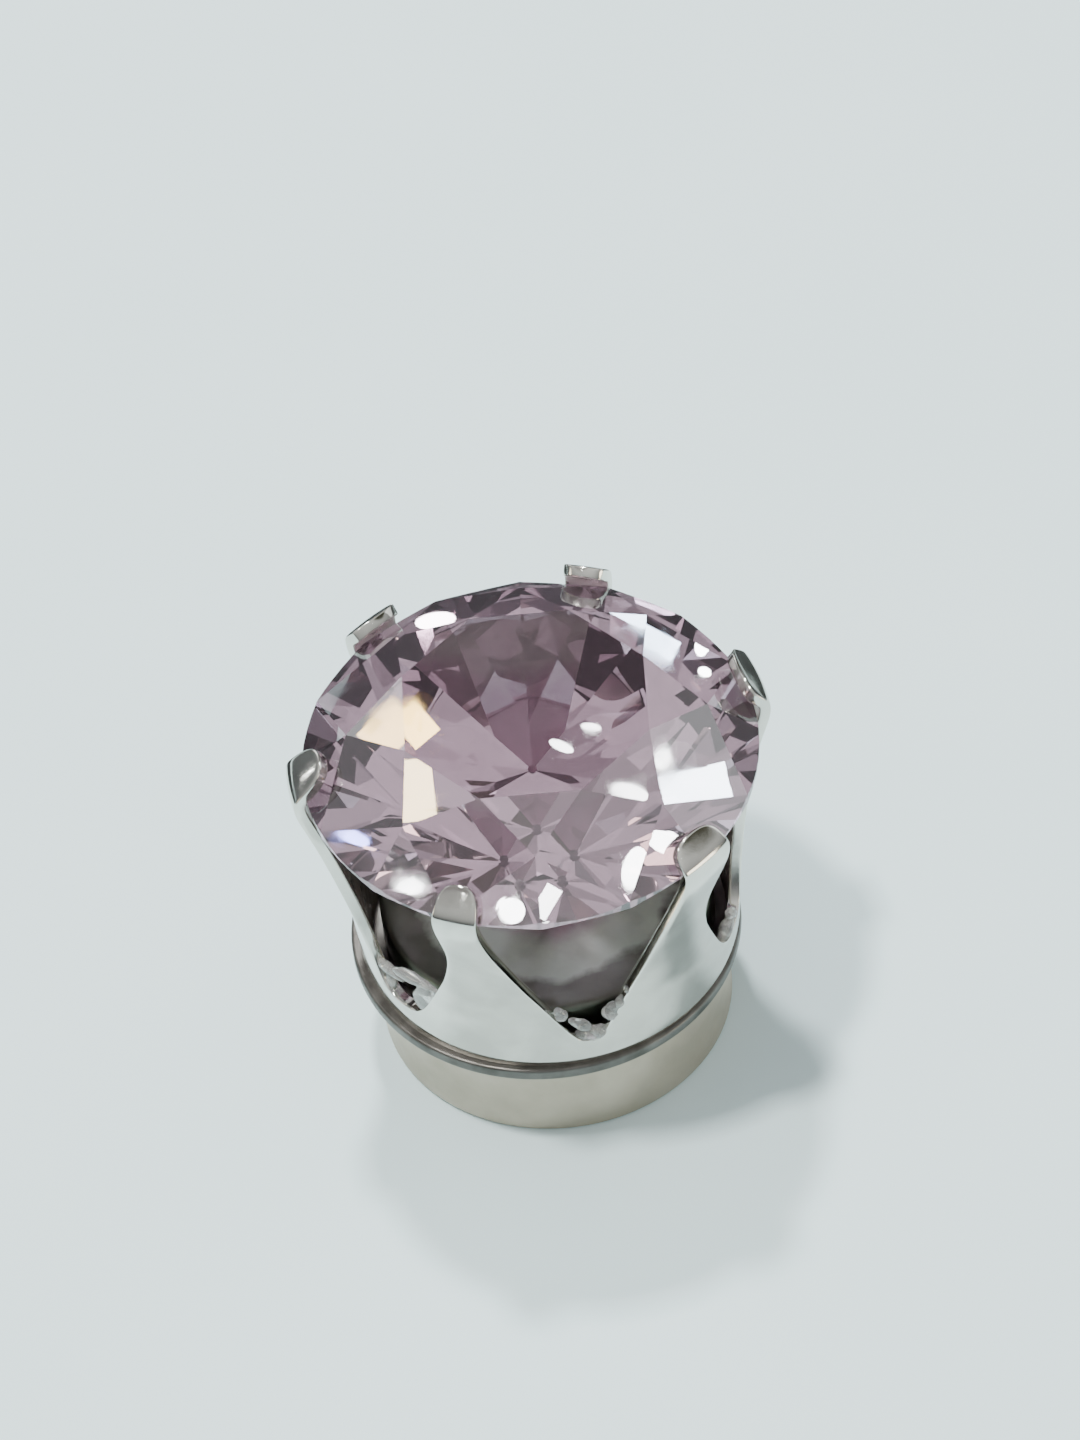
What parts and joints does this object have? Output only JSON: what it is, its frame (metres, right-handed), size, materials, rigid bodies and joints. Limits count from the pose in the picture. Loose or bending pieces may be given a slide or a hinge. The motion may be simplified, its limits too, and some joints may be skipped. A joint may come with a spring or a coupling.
{
  "type": "magnetic stud earring",
  "caption": "Magnetic stud earring: a round brilliant stone in a flared claw cup, held through the lobe by a disc magnet behind, shown closed on its back magnet.",
  "frame": {"origin": "middle of the back magnet's underside, where the earring stands", "axes": "+Z along the earring's axis, from the back magnet to the stone's table; +X to the right and -Y to the front, with an opening of the cup facing -Y"},
  "size_m": [0.0086, 0.008, 0.0079],
  "materials": {
    "stone": "polished facets, pale lilac",
    "cup_metal": "polished silver-coloured plating",
    "magnet_nickel": "satin nickel plating with fine handling marks",
    "glue": "clear set glue"
  },
  "bodies": {
    "back": {"back_magnet": "magnet_nickel"},
    "front": {"crown_setting": "cup_metal", "front_magnet": "magnet_nickel", "gemstone": "stone"}
  },
  "joints": [
    {"name": "pull_apart", "type": "slide", "parent": "back", "child": "front", "axis": [0, 0, 1], "range_m": [0, 0.006]}
  ]
}
